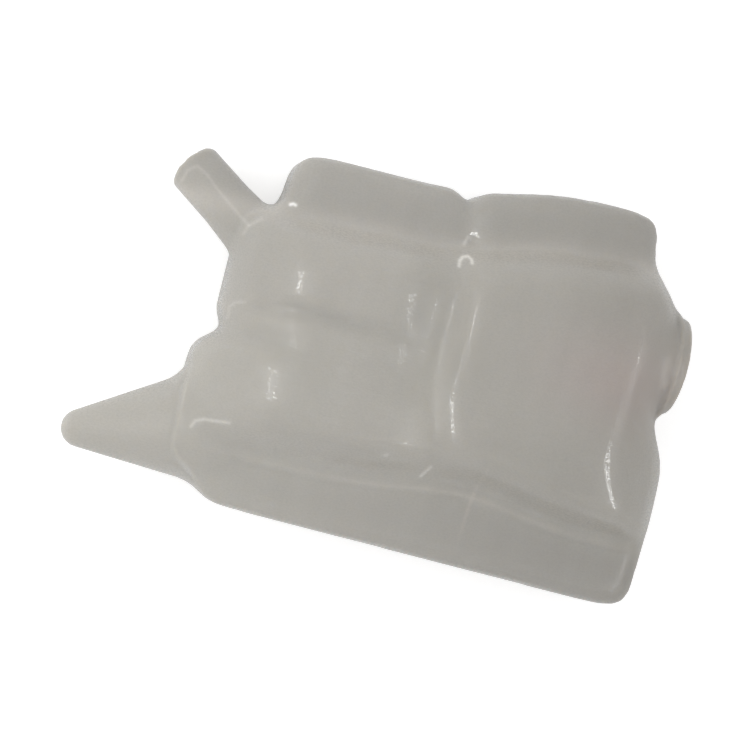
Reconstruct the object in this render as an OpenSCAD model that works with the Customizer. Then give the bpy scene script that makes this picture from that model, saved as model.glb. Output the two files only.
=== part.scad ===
// Coolant expansion tank for a car engine bay, blow moulded in one piece.
// The tank lies on its flat back: X runs from the lug to the filler neck, Z up through the thickness.
// Sizes are in millimetres.

/* [Back shell] */
// Height of the flat-topped back shell above the back face
shell_h = 51; // [40:1:56]
// Width of the tank over the left-hand lobes
body_w = 182.5; // [177:0.5:197]
// Y of the upper edge over the left-hand lobes
upper_edge = 92.5; // [88:0.5:105]
// Step up of the upper edge over the right-hand lobe
upper_step = 13.5; // [0:0.5:20]
// X of the left-hand end of the upper lobe
left_end = -110; // [-125:0.5:-105]
// X of the right-hand end of the lower lobe
right_end = 127.5; // [121:0.5:135]
// Radius rolled over the edge of the front
shell_roll = 11; // [7:0.5:14]
// Radius rolled over the edge of the back
back_roll = 8; // [5:0.5:10]

/* [Lobes] */
// Height of the front lobes above the back face
lobe_h = 77; // [70:1:92]
// Y of the crease along the upper side of the lobes
upper_crease = 64; // [60:1:70]
// Y of the crease along the lower side of the lobes
lower_crease = -61; // [-66:1:-54]
// Width over which the lobes round over along their upper and lower sides
side_round = 23; // [18:1:36]
// Width over which the lobes round over at the tank's two ends
end_round = 44; // [32:1:52]
// Depth of the waist groove between the left and right lobes
groove_depth = 7.5; // [4:0.5:14]
// Half width of the waist groove
groove_w = 9.5; // [7:0.5:12]
// Half width of its gentler side, towards the left lobes
groove_left = 17; // [9:0.5:22]
// Depth of the valley between the two left-hand lobes
valley_depth = 2; // [1:0.25:6]
// Height of the gentle crown across each pair of lobes
crown = 3; // [0:0.25:4]

/* [Wall] */
// Moulded wall thickness
wall = 2.5; // [1.5:0.1:3.2]

/* [Filler neck] */
// Outside diameter of the filler neck
neck_d = 49.5; // [44:0.5:54]
// Bore of the filler neck
neck_bore = 43.5; // [36:0.5:44]
// Length of the neck beyond the end that it stands on
neck_out = 5.5; // [5:0.5:30]
// Y of the neck's axis
neck_y = 34; // [28:1:38]
// Height of the neck's axis
neck_z = 46; // [40:1:50]
// Height of the rounded lip at the mouth
lip = 2.4; // [1:0.1:2.6]

/* [Hose spigot] */
// Outside diameter of the hose spigot
spigot_d = 27; // [24:0.5:28]
// Bore of the hose spigot
spigot_bore = 21; // [12:0.5:21]
// Length of the spigot outside the tank
spigot_out = 52; // [34:1:70]
// Angle of the spigot above the tank's length, seen from the front
spigot_turn = 36; // [28:1:44]
// Angle by which the spigot leans towards the back
spigot_lean = 20; // [8:1:24]

/* [Locating lug] */
// Diameter of the lug where it leaves the tank
lug_root_d = 53; // [40:1:54]
// Diameter of the lug's rounded tip
lug_tip_d = 19; // [12:0.5:24]
// Distance between the centres of root and tip
lug_len = 56; // [36:1:70]
// Angle of the lug below the tank's length
lug_drop = 14.5; // [8:0.5:18]

/* [Hidden] */
plastic = [0.66, 0.65, 0.62];

lower_edge = upper_edge - body_w;

// The left end steps in beside the spigot and under the lug, and out to the lower lobe
spigot_step = 18.5;
spigot_step_y = upper_crease - 4;
lug_step = 8.5;
lug_step_y = -9;
corner_step = 17;
corner_step_y = lower_edge + 18;
dip = 4;
dip_y = -2;

// The right end steps in beside the neck and slants off towards the upper corner
neck_step = 12;
neck_step_y = -6;
slant_from = 62;
slant_to = 82;
slant = 0.9;

// The upper edge steps up past the waist notch
step_x = 22;
notch = 4.5;
notch_x = -2;
notch_w = 6;
crease_step = 12;
crease_bow = 7;
crease_bow_x = 28;
crease_bow_w = 38;

// The lobes' lower side is steeper past an X, and their right end is tighter below a Y
narrow_x = 60;
tight_y = -36;

// The waist groove bends from the notch towards the right
groove_top_x = -4;
groove_bend = 10;
groove_bend_y = -23;
groove_bend_w = 7;
shelf_groove = 3;

// The valley between the left-hand lobes fades out before the groove
valley_y0 = 16;
valley_w = 4.5;
valley_end = -25;

// The crowns' tops, and how far they spread
high_y = 32;
low_y = -24;
crown_w = 23;

// Neck, spigot and lug: where they start, how far they reach into the body, drafts and rounded ends
neck_root = 24;
draft = 1.4;
spigot_flare = 1.6;
spigot_end_r = 3;
hose_grip = 25;
spigot_root = [left_end + 10, 45, 36];
spigot_in = 14;
lug_root = [left_end + 2, lower_edge + 36.5, 30];
lug_in = 6;

// Lengths over which the steps happen, and the softness of corners and feet
sharp = 3;
short = 6;
medium = 8;
long = 14;
corner_soft = 6;
lobe_soft = 0.2;
foot_soft = 0.07;

spine_y = 12;
spine_x = 66;
ray_step = 6;
fan_rays = 26;

// Helpers: a soft step from 0 to 1, a bump, the soft least of a list, and a soft ramp from 0
function rise_at(t) = 1 / (1 + exp(-t));
function bump(t) = exp(-t * t);
function soft_least(list, k) = -k * ln([for (v = list) exp(-v / k)] * [for (v = list) 1]);
function soft_ramp(t, k) = t > 8 * k ? t : k * ln(1 + exp(t / k));

// Plan of the tank: where its ends and long edges lie
function left_side(y) = left_end + spigot_step * rise_at((y - spigot_step_y) / sharp)
    - lug_step * rise_at((lug_step_y - y) / sharp) + corner_step * rise_at((corner_step_y - y) / sharp)
    + dip * bump((y - dip_y) / short);
function right_side(y) = right_end - neck_step * rise_at((y - neck_step_y) / short)
    - slant * (soft_ramp(y - slant_from, sharp) - soft_ramp(y - slant_to, sharp));
function upper_side(x) = upper_edge + upper_step * rise_at((x - step_x) / long)
    - notch * bump((x - notch_x) / notch_w);
function lower_side(x) = lower_edge - 0.02 * x;
function upper_foot(x) = upper_crease - 1 + 0.04 * x + crease_step * rise_at((x - step_x) / long);
function groove_x(y) = groove_top_x + groove_bend * rise_at((groove_bend_y - y) / groove_bend_w);
function valley_y(x) = valley_y0 - valley_y0 * exp(-(x - left_end) / long);
function lower_foot(x) = lower_crease + crease_bow * bump((x - crease_bow_x) / crease_bow_w);
function left_round(y) = end_round * (1 + 0.35 * rise_at((lug_step_y - y) / short));
function right_round(y) = end_round * (1.2 - 0.6 * rise_at((y - neck_step_y) / short)
    - 0.6 * rise_at((tight_y - y) / medium));
function lower_round(x) = side_round * (1.1 - 0.25 * rise_at((x - narrow_x) / long));
function long_foot(t) = t > 0 ? pow(t, 1.6) : t;

// Distance of a point inside the tank's plan, and its share of the way up the lobes' rounded sides
function plan_depth(p) = soft_least([
    p[0] - left_side(p[1]), right_side(p[1]) - p[0], upper_side(p[0]) - p[1], p[1] - lower_side(p[0])
], corner_soft);
function lobe_share(p, inset) = soft_least([
    (p[0] - left_side(p[1]) - inset) / left_round(p[1]),
    (right_side(p[1]) - p[0] - inset) / right_round(p[1]),
    (upper_foot(p[0]) - p[1] - inset) / side_round,
    long_foot((p[1] - lower_foot(p[0]) - inset) / lower_round(p[0]))
], lobe_soft);

// Height of the front skin at a point of the plan, with the skin moved inwards by inset
function front(p, inset) =
    let (
        r = shell_roll - inset,
        d = min(max(plan_depth(p) - inset, 0), r),
        ledge = shell_h - inset - r + sqrt(r * r - pow(r - d, 2)),
        t = min(soft_ramp(lobe_share(p, inset), foot_soft), 1),
        shoulder = 1 - pow(1 - t, 2.3),
        groove = (shelf_groove * rise_at(p[1] / medium) + (groove_depth - shelf_groove) * shoulder)
            * bump((p[0] - groove_x(p[1])) / ((p[0] < groove_x(p[1]) ? groove_left : groove_w) + inset)),
        valley = valley_depth * shoulder * bump((p[1] - valley_y(p[0])) / valley_w)
            * rise_at((valley_end - p[0]) / medium),
        sag = crown * shoulder * (1 - bump((p[1] - high_y) / crown_w) - bump((p[1] - low_y) / crown_w))
    )
    ledge + (lobe_h - shell_h) * shoulder - groove - valley - sag;

// Directions from an end of the spine, closest together towards the corners
function fan(side) = [
    for (i = [1 : fan_rays])
        let (a = -90 + 180 * i / (fan_rays + 1), b = a + 8 * sin(4 * a), d = [0.58 * cos(b), sin(b)])
            side * d / norm(d)
];

// Rays from a spine along the middle of the tank: [origin, direction], anticlockwise from the upper right
function rays() =
    let (n = spine_x / ray_step)
    concat(
        [for (i = [n : -1 : -n]) [[i * ray_step, spine_y], [0, 1]]],
        [for (d = fan(-1)) [[-spine_x, spine_y], d]],
        [for (i = [-n : n]) [[i * ray_step, spine_y], [0, -1]]],
        [for (d = fan(1)) [[spine_x, spine_y], d]]
    );

// Length along a ray at which the plan is depth deep, found by halving
function reach(ray, depth, near = 0, far = 160, turns = 16) =
    let (mid = (near + far) / 2)
    turns == 0 ? mid
    : plan_depth(ray[0] + mid * ray[1]) > depth ? reach(ray, depth, mid, far, turns - 1)
    : reach(ray, depth, near, mid, turns - 1);

// The blown skin of the body, moved inwards by inset
module body_skin(inset, roll_steps, face_steps) {
    all_rays = rays();
    count = len(all_rays);
    r_back = back_roll - inset;
    r_front = shell_roll - inset;
    back_rings = [
        for (i = [0 : roll_steps])
            let (
                a = 90 * i / roll_steps,
                depth = inset + r_back * (1 - sin(a)),
                z = inset + r_back * (1 - cos(a))
            )
                [for (ray = all_rays) let (p = ray[0] + reach(ray, depth) * ray[1]) [p[0], p[1], z]]
    ];
    front_rings = [
        for (i = [0 : roll_steps])
            let (depth = inset + r_front * (1 - cos(90 * i / roll_steps)))
                [for (ray = all_rays)
                    let (p = ray[0] + reach(ray, depth) * ray[1]) [p[0], p[1], front(p, inset)]]
    ];
    face_rings = [
        for (i = [1 : face_steps])
            let (share = pow(1 - i / (face_steps + 1), 1.15))
                [for (ray = all_rays)
                    let (p = ray[0] + reach(ray, inset + r_front) * share * ray[1])
                        [p[0], p[1], front(p, inset)]]
    ];
    rings = concat(back_rings, front_rings, face_rings);
    last = (len(rings) - 1) * count;
    sides = [
        for (r = [0 : len(rings) - 2])
            for (i = [0 : count - 1])
                let (a = r * count + i, b = r * count + (i + 1) % count)
                    each [[a, a + count, b], [b, a + count, b + count]]
    ];
    // The caps are strips between rays that face each other across the spine
    pairs = 2 * spine_x / ray_step + fan_rays + 1;
    first = -fan_rays / 2;
    caps = [
        for (k = [0 : count / 2 - 2])
            let (
                i = (first + k + count) % count,
                j = (first + k + 1 + count) % count,
                m = (pairs + count - first - k + 2 * spine_x / ray_step) % count,
                n = (pairs + count - first - k - 1 + 2 * spine_x / ray_step) % count
            )
                each concat(
                    [[i, j, m]], n == j ? [] : [[j, n, m]],
                    [[last + j, last + i, last + m]], n == j ? [] : [[last + n, last + j, last + m]]
                )
    ];
    polyhedron([for (ring = rings) each ring], concat(sides, caps), convexity = 6);
}

// Filler neck along +X, straight in its mouth and a little wider inside
module at_neck() {
    translate([right_end - neck_step, neck_y, neck_z]) rotate([0, 90, 0]) children();
}
module neck_skin() {
    at_neck() rotate_extrude($fn = 48)
        polygon([
            [0, -neck_root], [neck_d / 2, -neck_root], [neck_d / 2, neck_out - lip],
            [neck_d / 2 - lip * 0.3, neck_out - lip * 0.3], [neck_d / 2 - lip, neck_out], [0, neck_out]
        ]);
}
module neck_hole() {
    start = 2 - neck_root;
    at_neck() {
        translate([0, 0, -wall]) cylinder(d = neck_bore, h = neck_out + wall + 1, $fn = 48);
        translate([0, 0, start])
            cylinder(d1 = neck_bore + draft, d2 = neck_bore + 0.2, h = -wall - start, $fn = 48);
    }
}

// Hose spigot, leaning away from the front, with a tapered root
module at_spigot() {
    translate(spigot_root) rotate([0, 0, 180 - spigot_turn]) rotate([0, 90 + spigot_lean, 0]) children();
}
module spigot_skin() {
    at_spigot() rotate_extrude($fn = 40)
        polygon(concat(
            [[0, -spigot_in], [spigot_d / 2 + spigot_flare, -spigot_in], [spigot_d / 2 + spigot_flare, 0]],
            [[spigot_d / 2, spigot_out - hose_grip - spigot_end_r]],
            [for (i = [0 : 3]) let (a = 30 * i)
                [spigot_d / 2 - spigot_end_r * (1 - cos(a)), spigot_out - spigot_end_r * (1 - sin(a))]],
            [[0, spigot_out]]
        ));
}
module spigot_hole() {
    at_spigot() translate([0, 0, -spigot_in - 1])
        cylinder(d = spigot_bore, h = spigot_in + spigot_out + 2, $fn = 40);
}

// Locating lug: a cone that runs into a round tip
module lug_skin(inset) {
    r1 = lug_root_d / 2 - inset;
    r2 = lug_tip_d / 2 - inset;
    lean = asin((r1 - r2) / lug_len);
    translate(lug_root) rotate([0, 0, 180 + lug_drop]) rotate([0, 90, 0])
        rotate_extrude($fn = 40) polygon(concat(
            [[0, -lug_in], [r1 * cos(lean), -lug_in], [r1 * cos(lean), r1 * sin(lean)]],
            [for (i = [0 : 8]) let (a = lean + (90 - lean) * i / 8) [r2 * cos(a), lug_len + r2 * sin(a)]]
        ));
}

module tank() {
    color(plastic) difference() {
        union() {
            body_skin(0, 4, 11);
            neck_skin();
            spigot_skin();
            lug_skin(0);
        }
        body_skin(wall, 2, 7);
        neck_hole();
        spigot_hole();
        lug_skin(wall);
    }
}

tank();
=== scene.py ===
"""Coolant expansion tank: a blow-moulded shell in natural plastic, lying on its flat back."""

import math

import bpy
import numpy as np
from mathutils import Matrix, Vector


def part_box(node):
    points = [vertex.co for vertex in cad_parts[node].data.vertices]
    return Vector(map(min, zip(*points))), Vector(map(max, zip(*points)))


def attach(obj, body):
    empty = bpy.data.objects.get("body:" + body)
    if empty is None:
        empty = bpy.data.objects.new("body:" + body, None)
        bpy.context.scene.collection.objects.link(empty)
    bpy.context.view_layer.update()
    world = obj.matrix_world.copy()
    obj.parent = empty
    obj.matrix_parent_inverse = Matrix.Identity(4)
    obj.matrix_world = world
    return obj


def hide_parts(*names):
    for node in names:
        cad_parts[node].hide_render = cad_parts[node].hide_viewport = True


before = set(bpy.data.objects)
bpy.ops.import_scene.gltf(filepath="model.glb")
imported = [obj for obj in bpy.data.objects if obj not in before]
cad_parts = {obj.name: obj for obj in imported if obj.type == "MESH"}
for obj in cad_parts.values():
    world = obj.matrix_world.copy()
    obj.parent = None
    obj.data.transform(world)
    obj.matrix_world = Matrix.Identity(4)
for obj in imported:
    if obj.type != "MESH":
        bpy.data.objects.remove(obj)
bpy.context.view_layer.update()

MM = 0.001
RES = 750  # Width and height of the picture, in pixels

# The tank's driving sizes, in millimetres, in the frame of the CAD solid
SHELL_H = 51.0
LOWER_EDGE = -90.0
UPPER_EDGE = 92.5
UPPER_STEP = 13.5
LEFT_END = -110.0
RIGHT_END = 127.5
SHELL_ROLL = 11.0
BACK_ROLL = 8.0
LOBE_H = 77.0
UPPER_CREASE = 64.0
LOWER_CREASE = -61.0
SIDE_ROUND = 23.0
END_ROUND = 44.0
GROOVE_DEPTH = 7.5
GROOVE_W = 9.5
GROOVE_LEFT = 17.0
VALLEY_DEPTH = 2.0
CROWN = 3.0
NECK_D = 49.5
NECK_BORE = 43.5
NECK_OUT = 5.5
NECK_Y = 34.0
NECK_Z = 46.0
LIP = 2.4
SPIGOT_D = 27.0
SPIGOT_BORE = 21.0
SPIGOT_OUT = 52.0
SPIGOT_TURN = 36.0
SPIGOT_LEAN = 20.0
SPIGOT_LIP = 3.0
SPIGOT_FLARE = 1.6
HOSE_GRIP = 25.0
LUG_ROOT_D = 53.0
LUG_TIP_D = 19.0
LUG_LEN = 56.0
LUG_DROP = 14.5

# The left end steps in beside the spigot and under the lug, and out to the lower lobe
SPIGOT_STEP = 18.5
SPIGOT_STEP_Y = UPPER_CREASE - 4
LUG_STEP = 8.5
LUG_STEP_Y = -9.0
CORNER_STEP = 17.0
CORNER_STEP_Y = LOWER_EDGE + 18
DIP = 4.0
DIP_Y = -2.0

# The right end steps in beside the neck and slants off towards the upper corner
NECK_STEP = 12.0
NECK_STEP_Y = -6.0
SLANT_FROM = 62.0
SLANT_TO = 82.0
SLANT = 0.9

# The upper edge steps up past the waist notch, and the creases follow it or bow
STEP_X = 22.0
NOTCH = 4.5
NOTCH_X = -2.0
NOTCH_W = 6.0
CREASE_STEP = 12.0
CREASE_BOW = 7.0
CREASE_BOW_X = 28.0
CREASE_BOW_W = 38.0
EDGE_SLOPE = 0.02
FOOT_SLOPE = 0.04

# The lobes' lower side is steeper past an X, and their right end is tighter below a Y
NARROW_X = 60.0
TIGHT_Y = -36.0
SHOULDER_POWER = 2.3
LONG_FOOT_POWER = 1.6

# The waist groove bends from the notch towards the right
GROOVE_TOP_X = -4.0
GROOVE_BEND = 10.0
GROOVE_BEND_Y = -23.0
GROOVE_BEND_W = 7.0
SHELF_GROOVE = 3.0

# The valley between the left-hand lobes fades out before the groove
VALLEY_Y0 = 16.0
VALLEY_W = 4.5
VALLEY_END = -25.0

# The crowns' tops, and how far they spread
HIGH_Y = 32.0
LOW_Y = -24.0
CROWN_W = 23.0

# Lengths over which the steps happen
SHARP = 3.0
SHORT = 6.0
MEDIUM = 8.0
LONG = 14.0

# Where neck, spigot and lug start, how far they reach into the body, and how far their bores run on
NECK_ROOT = np.array([RIGHT_END - NECK_STEP, NECK_Y, NECK_Z])
SPIGOT_ROOT = np.array([LEFT_END + 10, 45.0, 36.0])
LUG_ROOT = np.array([LEFT_END + 2, -53.5, 30.0])
NECK_IN = 20.0
SPIGOT_IN = 10.0
BORE_PAST = 20.0

# Softness of the plan's corners and of the lobes' feet, as in the CAD solid
CORNER_SOFT = 6.0
LOBE_SOFT = 0.2
FOOT_SOFT = 0.07

# Radius of the moulded fillets where the neck, spigot and lug leave the body
NECK_FILLET = 7.0
SPIGOT_FILLET = 5.0
LUG_FILLET = 9.0

# Spacing and margin of the grid that the moulding's surface is taken from, and the wall that it can carry
GRID_STEP = 1.5
GRID_MARGIN = 4.0
MODEL_WALL = 3.2
SETTLE_PASSES = 4

# The dimple that the mould leaves at the end of a fold: X, Y, size and depth
FOLD_MARKS = ((2.0, 69.5, 2.6, 1.2),)

# Painted highlights: thin pale lines and dots where glints fall on edges and folds: how pale each is, and
# points along it in the plan
PAINTED_GLINT_LINES = (
    (
        0.25,
        (-142.9, 64.3),
        (-141.4, 69.3),
        (-137.5, 72.7),
        (-131.7, 69.5),
        (-125.4, 63.8),
        (-106.7, 49.4),
    ),
    (0.3, (-108.3, 44.9), (-106.8, 49.3), (-101.7, 54.0)),
    (0.52, (-110.8, -52.5), (-109.4, -49.3), (-105.6, -47.6), (-93.6, -46.3)),
    (0.3, (-105.9, 3.0), (-106.5, 8.7), (-104.2, 11.4), (-100.3, 12.5)),
    (0.9, (-2.4, 55.4), (-2.2, 58.2), (-0.6, 60.6), (1.7, 61.4), (3.4, 60.0), (3.6, 58.4)),
    (0.55, (5.5, -49.6), (8.2, -43.9)),
    (0.4, (-0.5, 67.3), (0.7, 71.2)),
    (1.7, (-89.2, 64.7), (-88.0, 65.3), (-86.9, 65.0)),
    (0.5, (-16.4, -43.4), (-15.6, -42.9)),
)
PAINTED_GLINT_WIDTH = 0.9

# How deep the unseen inner skin starts, as a share of the wall, and the share of its faces that it keeps
INNER_DEPTH = 0.6
INNER_KEEP = 0.6

# Colours at the two ends of the plastic's tone, which carries random tone and also painted light and shade
THICK_AND_SHADED = (0.355, 0.335, 0.304)
THIN_AND_LIT = (0.487, 0.466, 0.428)

# Places in the plan, in metres: X, Y and size along each, where shade is painted into the colour: two in
# folds, the rest on shaded flanks and ledges and on ends that the lamps light too brightly
PAINTED_SHADE_PLACES = (
    (0.075, -0.034, 0.045, 0.020),
    (-0.038, -0.045, 0.028, 0.005),
    (-0.052, 0.014, 0.020, 0.004),
    (-0.110, 0.058, 0.022, 0.034),
    (-0.108, 0.030, 0.020, 0.022),
    (-0.019, 0.024, 0.009, 0.012),
    (0.0077, 0.006, 0.0035, 0.014),
    (0.095, 0.010, 0.005, 0.014),
    (0.085, 0.056, 0.034, 0.020),
)

# Places where the gloss is rubbed dull, and how much
DULL_PLACES = (
    (-0.076, -0.006, 0.020, 0.018, 0.95),
    (0.0925, -0.003, 0.010, 0.011, 1.2),
    (-0.011, 0.016, 0.016, 0.028, 1.3),
    (0.0035, -0.017, 0.0035, 0.014, 1.0),
    (0.012, 0.011, 0.009, 0.014, 1.2),
    (0.102, 0.015, 0.016, 0.022, 1.4),
    (0.120, -0.070, 0.010, 0.018, 1.0),
    (-0.075, 0.008, 0.010, 0.008, 1.0),
    (0.113, 0.027, 0.012, 0.030, 1.0),
    (0.008, 0.036, 0.008, 0.012, 0.45),
    (-0.115, -0.050, 0.006, 0.016, 1.0),
    (-0.079, -0.026, 0.014, 0.014, 0.4),
    (-0.078, 0.025, 0.012, 0.014, 0.25),
    (0.0105, -0.024, 0.006, 0.012, 0.3),
)
LUG_PLACE = (-0.17, -0.07, 0.05, 0.05)
NECK_PLACE = (0.085, 0.02, 0.035, 0.022)
GROOVE_PLACE = (-0.004, -0.014, 0.010, 0.036)
CREASE_PLACE = (0.015, -0.06, 0.085, 0.02)
SEAM_PLACE = (0.0365, -0.059, 0.0011, 0.016)


# Helpers shared by the tank's plan and its heights
def rise_at(t):
    return 1 / (1 + np.exp(-np.clip(t, -60, 60)))


def bump(t):
    return np.exp(-t * t)


def soft_least(values, k):
    low = np.minimum.reduce(values)
    return low - k * np.log(sum(np.exp(-(v - low) / k) for v in values))


def soft_ramp(t, k):
    return k * np.logaddexp(0, t / k)


def blend_union(a, b, r):
    """Union of two distances with a fillet of about radius r between them."""
    h = np.maximum(r - np.abs(a - b), 0) / r
    return np.minimum(a, b) - h * h * r / 4


# Plan of the tank: where its ends and long edges lie
def left_side(y):
    step = SPIGOT_STEP * rise_at((y - SPIGOT_STEP_Y) / SHARP) - LUG_STEP * rise_at((LUG_STEP_Y - y) / SHARP)
    corner = CORNER_STEP * rise_at((CORNER_STEP_Y - y) / SHARP)
    return LEFT_END + step + corner + DIP * bump((y - DIP_Y) / SHORT)


def right_side(y):
    slant = SLANT * (soft_ramp(y - SLANT_FROM, SHARP) - soft_ramp(y - SLANT_TO, SHARP))
    return RIGHT_END - NECK_STEP * rise_at((y - NECK_STEP_Y) / SHORT) - slant


def upper_side(x):
    step = UPPER_STEP * rise_at((x - STEP_X) / LONG)
    return UPPER_EDGE + step - NOTCH * bump((x - NOTCH_X) / NOTCH_W)


def lower_side(x):
    return LOWER_EDGE - EDGE_SLOPE * x


def upper_foot(x):
    return UPPER_CREASE - 1 + FOOT_SLOPE * x + CREASE_STEP * rise_at((x - STEP_X) / LONG)


def groove_x(y):
    return GROOVE_TOP_X + GROOVE_BEND * rise_at((GROOVE_BEND_Y - y) / GROOVE_BEND_W)


def valley_y(x):
    return VALLEY_Y0 - VALLEY_Y0 * np.exp(-np.maximum(x - LEFT_END, -20) / LONG)


def lower_foot(x):
    return LOWER_CREASE + CREASE_BOW * bump((x - CREASE_BOW_X) / CREASE_BOW_W)


def left_round(y):
    return END_ROUND * (1 + 0.35 * rise_at((LUG_STEP_Y - y) / SHORT))


def right_round(y):
    share = 1.2 - 0.6 * rise_at((y - NECK_STEP_Y) / SHORT) - 0.6 * rise_at((TIGHT_Y - y) / MEDIUM)
    return END_ROUND * share


def lower_round(x):
    return SIDE_ROUND * (1.1 - 0.25 * rise_at((x - NARROW_X) / LONG))


def long_foot(t):
    return np.where(t > 0, np.abs(t) ** LONG_FOOT_POWER, t)


def plan_depth(x, y):
    """Distance of a point inside the tank's plan."""
    sides = [x - left_side(y), right_side(y) - x, upper_side(x) - y, y - lower_side(x)]
    return soft_least(sides, CORNER_SOFT)


def lobe_shoulder(x, y):
    """Share of the lobes' full height at a point of the plan."""
    sides = [
        (x - left_side(y)) / left_round(y),
        (right_side(y) - x) / right_round(y),
        (upper_foot(x) - y) / SIDE_ROUND,
        long_foot((y - lower_foot(x)) / lower_round(x)),
    ]
    t = np.clip(soft_ramp(soft_least(sides, LOBE_SOFT), FOOT_SOFT), 0, 1)
    return 1 - (1 - t) ** SHOULDER_POWER


def front_height(x, y, depth):
    """Height of the lobed front above the back face."""
    d = np.clip(depth, 0, SHELL_ROLL)
    ledge = SHELL_H - SHELL_ROLL + np.sqrt(SHELL_ROLL**2 - (SHELL_ROLL - d) ** 2)
    shoulder = lobe_shoulder(x, y)
    width = np.where(x < groove_x(y), GROOVE_LEFT, GROOVE_W)
    groove = SHELF_GROOVE * rise_at(y / MEDIUM) + (GROOVE_DEPTH - SHELF_GROOVE) * shoulder
    groove = groove * bump((x - groove_x(y)) / width)
    valley = VALLEY_DEPTH * shoulder * bump((y - valley_y(x)) / VALLEY_W)
    valley = valley * rise_at((VALLEY_END - x) / MEDIUM)
    crown = CROWN * shoulder * (1 - bump((y - HIGH_Y) / CROWN_W) - bump((y - LOW_Y) / CROWN_W))
    marks = sum(deep * bump(np.hypot(x - x0, y - y0) / size) for x0, y0, size, deep in FOLD_MARKS)
    return ledge + (LOBE_H - SHELL_H) * shoulder - groove - valley - crown - marks


def back_height(depth):
    """Height at which the rolled back edge lies."""
    d = np.clip(depth, 0, BACK_ROLL)
    return BACK_ROLL - np.sqrt(BACK_ROLL**2 - (BACK_ROLL - d) ** 2)


def per_slope(height, x_axis, y_axis):
    """Turns a height difference into a distance square to a surface of that slope."""
    gx, gy = np.gradient(height, x_axis, y_axis)
    return 1 / np.sqrt(1 + gx**2 + gy**2)


def body_distance(x_axis, y_axis, z):
    """Signed distance to the body's skin on the grid, negative inside."""
    x, y = np.meshgrid(x_axis, y_axis, indexing="ij")
    depth = plan_depth(x, y)
    top = front_height(x, y, depth)
    low = back_height(depth)
    above = (z - top[..., None]) * per_slope(top, x_axis, y_axis)[..., None]
    below = (low[..., None] - z) * per_slope(low, x_axis, y_axis)[..., None]
    return np.maximum(np.maximum(above, below), -depth[..., None])


def axial(points, root, direction):
    """Distance along and away from an axis."""
    rel = points - root
    along = rel @ direction
    return along, np.sqrt(np.maximum((rel**2).sum(-1) - along**2, 0))


def tube_distance(along, away, radius, start, end, round_r):
    """Signed distance to a cylinder with rounded ends."""
    half = (end - start) / 2
    dx = away - radius + round_r
    dz = np.abs(along - start - half) - half + round_r
    outside = np.sqrt(np.maximum(dx, 0) ** 2 + np.maximum(dz, 0) ** 2)
    return outside + np.minimum(np.maximum(dx, dz), 0) - round_r


def cone_distance(along, away, r1, r2, length):
    """Signed distance to the hull of two spheres, which is a cone with round ends."""
    lean = (r1 - r2) / length
    run = math.sqrt(1 - lean * lean)
    place = along * run - away * lean
    root = np.hypot(along, away) - r1
    tip = np.hypot(along - length, away) - r2
    side = away * run + along * lean - r1
    return np.where(place < 0, root, np.where(place > run * length, tip, side))


def turned(turn, lean):
    """Unit direction turned about Z and leant towards the back, in degrees."""
    t, q = math.radians(turn), math.radians(lean)
    return np.array([math.cos(t) * math.cos(q), math.sin(t) * math.cos(q), -math.sin(q)])


def even_distance(field, step):
    """The same surface, with values in millimetres near it, wherever the field was stretched."""
    slope = np.sqrt(sum(g**2 for g in np.gradient(field, step)))
    return field / np.clip(slope, 0.6, 3)


def tank_distance(x_axis, y_axis, z_axis):
    """Signed distance to the moulding, walls and open bores included, and to its body alone."""
    grid = np.stack(np.meshgrid(x_axis, y_axis, z_axis, indexing="ij"), -1)
    skin = body_distance(x_axis, y_axis, z_axis[None, None, :])
    neck = axial(grid, NECK_ROOT, np.array([1.0, 0, 0]))
    spigot = axial(grid, SPIGOT_ROOT, turned(180 - SPIGOT_TURN, SPIGOT_LEAN))
    lug = axial(grid, LUG_ROOT, turned(180 + LUG_DROP, 0))
    cone = cone_distance(*lug, LUG_ROOT_D / 2, LUG_TIP_D / 2, LUG_LEN)
    body = even_distance(blend_union(skin, cone, LUG_FILLET), GRID_STEP)
    taper = SPIGOT_FLARE * np.clip(1 - spigot[0] / (SPIGOT_OUT - HOSE_GRIP - SPIGOT_LIP), 0, 1)
    neck_tube = tube_distance(*neck, NECK_D / 2, -NECK_IN, NECK_OUT, LIP)
    spigot_tube = tube_distance(*spigot, SPIGOT_D / 2 + taper, -SPIGOT_IN, SPIGOT_OUT, SPIGOT_LIP)
    outer = blend_union(body, neck_tube, NECK_FILLET)
    outer = blend_union(outer, spigot_tube, SPIGOT_FILLET)
    neck_hole = tube_distance(*neck, NECK_BORE / 2, -NECK_IN - 1, NECK_OUT + BORE_PAST, 0)
    spigot_hole = tube_distance(*spigot, SPIGOT_BORE / 2, -SPIGOT_IN - 2, SPIGOT_OUT + BORE_PAST, 0)
    hollow = np.minimum(np.minimum(body + MODEL_WALL, neck_hole), spigot_hole)
    return np.maximum(outer, -hollow), body


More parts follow.
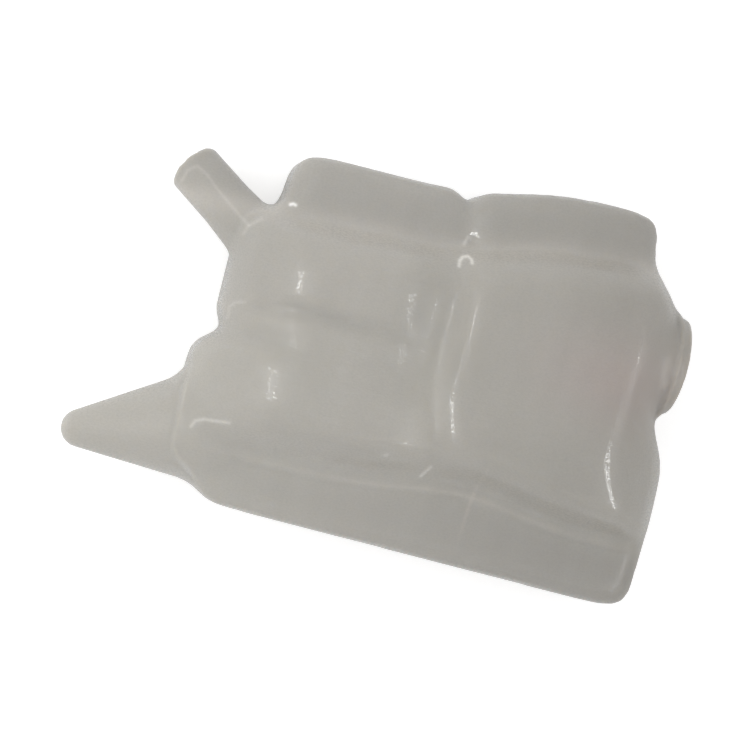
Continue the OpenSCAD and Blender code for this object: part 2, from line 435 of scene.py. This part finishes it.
def surface_net(field, axes):
    """Quad mesh of a field's zero surface: one corner in each cell of the grid that it crosses."""
    step = np.array([a[1] - a[0] for a in axes])
    start = np.array([a[0] for a in axes])
    inside = field < 0
    cells = tuple(n - 1 for n in field.shape)
    total = np.zeros(cells + (3,))
    hits = np.zeros(cells)
    corners = [np.array(c) for c in np.ndindex(2, 2, 2)]

    def at(corner, grid):
        return grid[tuple(slice(c, c + n) for c, n in zip(corner, cells))]

    for a in corners:
        for axis in range(3):
            if a[axis]:
                continue
            b = a.copy()
            b[axis] = 1
            crossed = at(a, inside) != at(b, inside)
            fa, fb = at(a, field)[crossed], at(b, field)[crossed]
            point = np.tile(a.astype(float), (len(fa), 1))
            point[:, axis] = fa / (fa - fb)
            total[crossed] += point
            hits[crossed] += 1
    active = hits > 0
    index = np.full(cells, -1)
    index[active] = np.arange(active.sum())
    verts = (total[active] / hits[active][:, None] + np.argwhere(active)) * step + start
    quads = []
    for axis in range(3):
        u, v = (axis + 1) % 3, (axis + 2) % 3
        low = np.take(inside, range(0, field.shape[axis] - 1), axis)
        high = np.take(inside, range(1, field.shape[axis]), axis)
        edge = np.argwhere(low != high)
        within = (edge[:, [u, v]] > 0) & (edge[:, [u, v]] < [cells[u], cells[v]])
        edge = edge[within.all(1)]
        ring = []
        for du, dv in ((1, 1), (0, 1), (0, 0), (1, 0)):
            cell = edge.copy()
            cell[:, u] -= du
            cell[:, v] -= dv
            ring.append(index[tuple(cell.T)])
        ring = np.stack(ring, 1)
        leaving = low[tuple(edge.T)]
        ring[~leaving] = ring[~leaving][:, ::-1]
        quads.append(ring)
    return verts, np.concatenate(quads), np.argwhere(active)


def mesh_piece(name, verts, faces):
    """A smooth-shaded mesh object at the origin, from corners in millimetres."""
    mesh = bpy.data.meshes.new(name)
    mesh.from_pydata((verts * MM).tolist(), [], faces.tolist())
    mesh.shade_smooth()
    piece = bpy.data.objects.new(name, mesh)
    bpy.context.scene.collection.objects.link(piece)
    return piece


def settle(verts, faces, passes, factor=0.5, extra=0.03):
    """Evens out the grid's steps: each corner moves to its neighbours' mean and back by a little more."""
    pairs = np.concatenate([faces[:, [0, 1]], faces[:, [1, 2]], faces[:, [2, 3]], faces[:, [3, 0]]])
    count = np.bincount(pairs.ravel(), minlength=len(verts))[:, None]
    for k in range(passes * 2):
        mean = np.zeros_like(verts)
        for axis in range(3):
            mean[:, axis] = np.bincount(pairs[:, 0], verts[pairs[:, 1], axis], len(verts))
            mean[:, axis] += np.bincount(pairs[:, 1], verts[pairs[:, 0], axis], len(verts))
        verts = verts + (factor if k % 2 == 0 else -factor - extra) * (mean / count - verts)
    return verts


def moulded_tank():
    low, high = (np.array(v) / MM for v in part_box("tank"))
    axes = [np.arange(a - GRID_MARGIN, b + GRID_MARGIN, GRID_STEP) for a, b in zip(low, high)]
    field, body = tank_distance(*axes)
    verts, faces, cells = surface_net(field, axes)
    verts = np.clip(settle(verts, faces, SETTLE_PASSES), low, high)
    tank = mesh_piece("tank_shell", verts, faces)
    inner = np.flatnonzero(body[tuple(cells.T)] < -MODEL_WALL * INNER_DEPTH)
    tank.vertex_groups.new(name="inner_skin").add(inner.tolist(), 1.0, "REPLACE")
    thin = tank.modifiers.new("thin_out", "DECIMATE")
    thin.ratio = INNER_KEEP
    thin.vertex_group = "inner_skin"
    return tank


# Shader maths: a socket that takes Python's operators
class Tap:
    def __init__(self, finish, socket):
        self.finish, self.socket = finish, socket

    def maths(self, kind, a, b=0.0):
        return self.finish.node("ShaderNodeMath", {"operation": kind}, {0: a, 1: b})

    def tinted(self, share, shade):
        """This colour, multiplied by a plain one as far as the share says."""
        return self.finish.mix(share, self, shade, "MULTIPLY")

    def __add__(self, other):
        return self.maths("ADD", self, other)

    def __sub__(self, other):
        return self.maths("SUBTRACT", self, other)

    def __rsub__(self, other):
        return self.maths("SUBTRACT", other, self)

    def __mul__(self, other):
        return self.maths("MULTIPLY", self, other)

    def __truediv__(self, other):
        return self.maths("DIVIDE", self, other)

    def __rtruediv__(self, other):
        return self.maths("DIVIDE", other, self)

    __radd__ = __add__
    __rmul__ = __mul__


class Finish:
    """A material and its nodes."""

    def __init__(self, name):
        self.material = bpy.data.materials.new(name)
        self.material.use_nodes = True
        self.tree = self.material.node_tree
        self.tree.nodes.clear()

    def node(self, kind, settings=None, inputs=None, out=0):
        made = self.tree.nodes.new(kind)
        for key, value in (settings or {}).items():
            setattr(made, key, value)
        for key, value in (inputs or {}).items():
            if isinstance(value, Tap):
                self.tree.links.new(value.socket, made.inputs[key])
            else:
                made.inputs[key].default_value = value
        return Tap(self, made.outputs[out]) if made.outputs else None

    def axes(self, place):
        split = self.node("ShaderNodeSeparateXYZ", {}, {0: place})
        return [Tap(self, out) for out in split.socket.node.outputs]

    def mix(self, factor, a, b, kind="MIX"):
        a, b = (c if isinstance(c, Tap) else (*c, 1) for c in (a, b))
        settings = {"data_type": "RGBA", "blend_type": kind}
        return self.node("ShaderNodeMix", settings, {0: factor, 6: a, 7: b}, out=2)

    def vector(self, kind, *parts, out=0):
        """Vector maths on links and plain vectors."""
        return self.node("ShaderNodeVectorMath", {"operation": kind}, dict(enumerate(parts)), out)

    def square(self, way):
        """Square of a vector's length."""
        return self.vector("DOT_PRODUCT", way, way, out=1)

    def fall(self, square):
        """1 where the square of a distance is 0, falling softly to 0 away from it."""
        return square.maths("POWER", 0.3679, square)

    def bump_at(self, t):
        """1 where t is 0, falling softly to 0 on both sides."""
        return self.fall(t * t)

    def rise_at(self, t):
        """0 far below t = 0 and 1 far above it."""
        return t.maths("TANH", t * 0.5) * 0.5 + 0.5

    def patch(self, plan, x0, y0, x_size, y_size):
        """Soft oval patch about (x0, y0) in the plan."""
        scale = (1 / x_size, 1 / y_size, 0)
        shift = (-x0 / x_size, -y0 / y_size, 0)
        return self.fall(self.square(self.vector("MULTIPLY_ADD", plan, scale, shift)))

    def stroke(self, plan, points, width):
        """Soft line through points of the plan."""
        nearest = None
        for (x0, y0), (x1, y1) in zip(points, points[1:]):
            dx, dy = x1 - x0, y1 - y0
            run = dx * dx + dy * dy
            off = self.vector("SUBTRACT", plan, (x0, y0, 0))
            along = self.vector("DOT_PRODUCT", off, (dx / run, dy / run, 0), out=1)
            along = self.node("ShaderNodeClamp", {}, {0: along})
            near = self.square(self.vector("MULTIPLY_ADD", along, (-dx, -dy, 0), off))
            nearest = near if nearest is None else near.maths("MINIMUM", nearest, near)
        return self.fall(nearest / (width * width))


def natural_plastic():
    """Milky natural polymer: light soaks in, under a soft gloss, flow streaks and a fine skin."""
    f = Finish("natural_plastic")
    place = f.node("ShaderNodeTexCoord", out="Object")
    x, y = f.axes(place)[:2]
    plan = f.vector("MULTIPLY", place, (1, 1, 0))

    def noise(scale, detail, roughness, where=place):
        inputs = {"Vector": where, "Scale": scale, "Detail": detail, "Roughness": roughness}
        return f.node("ShaderNodeTexNoise", {}, inputs)

    def stretched(*scale):
        return f.node("ShaderNodeMapping", {}, {"Vector": place, "Scale": scale})

    flow = stretched(90.0, 12.0, 60.0)
    ripple = stretched(150.0, 520.0, 300.0)
    cloud = noise(9.0, 3.0, 0.5)
    streak = noise(1.0, 4.0, 0.55, flow)
    grain = noise(420.0, 2.0, 0.5)
    peel = noise(1.0, 2.0, 0.6, ripple)

    # Tone with painted light and shade: lighter towards the lug's end and darker towards the neck's end, as
    # light falls from the left, lighter still on the lug, and varied by random clouds and flow streaks
    tone_and_painted_light = cloud * 0.35 + streak * 0.3 + f.bump_at((x + 0.09) / 0.16) * 0.8 - 0.2
    tone_and_painted_light = tone_and_painted_light + f.patch(plan, *LUG_PLACE) * 0.35
    colour = f.mix(tone_and_painted_light, THICK_AND_SHADED, THIN_AND_LIT)
    # A cool tint in clouds, and a faint warm one beside the neck
    colour = colour.tinted(noise(14.0, 2.0, 0.5) * 0.5, (0.97, 1.0, 0.985))
    colour = colour.tinted(f.patch(plan, *NECK_PLACE), (1.04, 0.97, 0.985))

    # Painted shade in patches, painted light along the groove against its shade, a thin painted light line
    # along the lower foot, and a pale seam
    shade_mottle = cloud + 0.5
    for shade_place in PAINTED_SHADE_PLACES:
        colour = colour.tinted(f.patch(plan, *shade_place) * shade_mottle, (0.93, 0.93, 0.93))
    # Painted light along the groove, lifting the shade that falls in it
    colour = colour.tinted(f.patch(plan, *GROOVE_PLACE), (1.07, 1.07, 1.06))
    # A thin painted light line along the lower foot of the lobes
    bow = f.bump_at((x - CREASE_BOW_X * MM) / (CREASE_BOW_W * MM))
    foot = LOWER_CREASE * MM + CREASE_BOW * MM * bow
    painted_foot_light = f.bump_at((y - foot) / 0.0012) * (streak * 1.1) * f.patch(plan, *CREASE_PLACE)
    leant = f.node("ShaderNodeCombineXYZ", {}, {0: x - y * 0.05, 1: y})
    seam = f.patch(leant, *SEAM_PLACE)
    foot_light_and_seam = seam.maths("MINIMUM", painted_foot_light + seam, 1.0)
    colour = colour.tinted(foot_light_and_seam, (1.14, 1.13, 1.13))

    # Painted highlights: pale lines and dots where glints fall on edges and folds
    plan_mm = f.vector("MULTIPLY", plan, (1 / MM, 1 / MM, 0))
    glint_mottle = cloud + 0.1
    for share, *points in PAINTED_GLINT_LINES:
        glint_stroke = f.stroke(plan_mm, points, PAINTED_GLINT_WIDTH)
        colour = colour.tinted(glint_stroke * share * glint_mottle, (2.05, 2.08, 2.15))

    # Painted shade on the flat shell above and below the lobes, darker towards the right below, and painted
    # light along the upper fold against the shade there
    step = f.rise_at((x - STEP_X * MM) / (LONG * MM)) * (CREASE_STEP * MM)
    fold = y - (step + x * FOOT_SLOPE + (UPPER_CREASE - 1) * MM)
    colour = colour.tinted(f.bump_at(fold / 0.006), (1.13, 1.12, 1.12))
    colour = colour.tinted(f.rise_at((fold - 0.006) / 0.003), (0.91, 0.91, 0.92))
    below = f.rise_at((foot - y - 0.005) / 0.003) * (x * 4.0 + 0.7)
    colour = colour.tinted(below, (0.87, 0.87, 0.88))

    # Gloss broken up by fine specks, and places where it is rubbed dull
    speck = noise(1.0, 1.0, 0.5, stretched(800.0, 1300.0, 1100.0))
    coat = speck * 4.5 - 1.55
    for *dull, share in DULL_PLACES:
        coat = coat - f.patch(plan, *dull) * share
    coat = coat.maths("MAXIMUM", coat, 0.0)
    rough = 0.33 + cloud * 0.08 + grain * 0.05
    height = grain + peel * 1.5 + streak
    skin = f.node("ShaderNodeBump", {}, {"Strength": 0.14, "Distance": 0.0004, "Height": height})
    surface = f.node(
        "ShaderNodeBsdfPrincipled",
        {},
        {
            "Base Color": colour,
            "Roughness": rough,
            "IOR": 1.5,
            "Subsurface Weight": 1.0,
            "Subsurface Radius": (1.0, 0.9, 0.72),
            "Subsurface Scale": 0.005,
            "Coat Weight": coat,
            "Coat Roughness": 0.07,
            "Normal": skin,
        },
    )
    f.node("ShaderNodeOutputMaterial", {}, {"Surface": surface})
    return f.material


# Half the floor's side, and how far it lies below the tank
FLOOR_SIDE = 3000
FLOOR_DROP = 0.2


def floor_finish():
    """White sweep that keeps the tank's shadow."""
    f = Finish("studio_white")
    seen = f.node("ShaderNodeLightPath", out="Is Camera Ray")
    seen_white = f.mix(seen, (0, 0, 0), (1, 1, 1))
    surface = f.node(
        "ShaderNodeBsdfPrincipled",
        {},
        {
            "Base Color": (0.85, 0.85, 0.85, 1),
            "Roughness": 0.9,
            "Emission Color": seen_white,
            "Emission Strength": 0.45,
        },
    )
    f.node("ShaderNodeOutputMaterial", {}, {"Surface": surface})
    return f.material


def studio_floor():
    side = FLOOR_SIDE
    corners = np.array([[-1, -1, 0], [1, -1, 0], [1, 1, 0], [-1, 1, 0]], float) * side
    floor = mesh_piece("studio_floor", corners - [0, 0, FLOOR_DROP], np.array([[0, 1, 2, 3]]))
    floor.data.materials.append(floor_finish())


# Camera: nearly square to the front, a little from the lug's side, rolled as in the photograph
CAM_SIDE = 8.0
CAM_ROLL = 14.0
CAM_DIST = 1100.0
SENSOR = 36
PX_PER_MM = 2.0
TARGET = Vector((-25.0, 6.0, 40.0))
TARGET_PX = (384.4, 351.3)


def place_camera():
    a, r = math.radians(CAM_SIDE), math.radians(CAM_ROLL)
    back = Vector((-math.sin(a), 0, math.cos(a)))
    right = Vector((0, 1, 0)).cross(back).normalized()
    up = back.cross(right)
    across = math.cos(r) * right + math.sin(r) * up
    upright = -math.sin(r) * right + math.cos(r) * up
    aim = TARGET + across * (RES / 2 - TARGET_PX[0]) / PX_PER_MM
    aim = aim + upright * (TARGET_PX[1] - RES / 2) / PX_PER_MM
    spot = aim + back * CAM_DIST
    cam = bpy.data.cameras.new("camera")
    cam.sensor_width = SENSOR
    cam.lens = SENSOR * CAM_DIST * PX_PER_MM / RES
    cam.clip_end = 20
    eye = bpy.data.objects.new("camera", cam)
    turn = Matrix((across, upright, back)).transposed().to_4x4()
    eye.matrix_world = Matrix.Translation(spot * MM) @ turn
    bpy.context.scene.collection.objects.link(eye)
    bpy.context.scene.camera = eye
    return across, upright, back


# What the lamps point at, in the tank's middle
LAMP_AIM = Vector((0, 0, 60))


def lamp(name, towards, distance, size, power, glint=True):
    """Rectangular lamp that gives glints only, or soft light only.

    It stands off the tank's middle, across, up and towards the camera.
    """
    light = bpy.data.lights.new(name, "AREA")
    light.shape = "RECTANGLE"
    light.size, light.size_y = size[0] * MM, size[1] * MM
    light.energy = power
    holder = bpy.data.objects.new(name, light)
    holder.visible_glossy = glint
    holder.visible_diffuse = not glint
    across, upright, back = CAMERA_AXES
    way = (across * towards[0] + upright * towards[1] + back * towards[2]).normalized()
    side = upright.cross(way).normalized()
    holder.matrix_world = Matrix.Translation((LAMP_AIM + way * distance) * MM) @ (
        Matrix((side, way.cross(side), way)).transposed().to_4x4()
    )
    bpy.context.scene.collection.objects.link(holder)


def studio_light():
    world = bpy.data.worlds.new("studio")
    world.use_nodes = True
    sky = world.node_tree.nodes["Background"].inputs
    sky["Color"].default_value = (1, 1, 1, 1)
    sky["Strength"].default_value = 0.82
    bpy.context.scene.world = world
    lamp("key_window", (-0.65, 0.3, 0.6), 1100, (500, 700), 2.8, glint=False)
    lamp("left_streak", (-0.28, 0.04, 0.96), 1300, (200, 560), 3.1)
    lamp("right_streak", (0.66, -0.42, 0.62), 1300, (160, 1150), 4.4)


bpy.context.scene.view_settings.view_transform = "Standard"
CAMERA_AXES = place_camera()
studio_floor()
studio_light()

tank = moulded_tank()
tank.data.materials.append(natural_plastic())
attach(tank, "root")
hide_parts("tank")
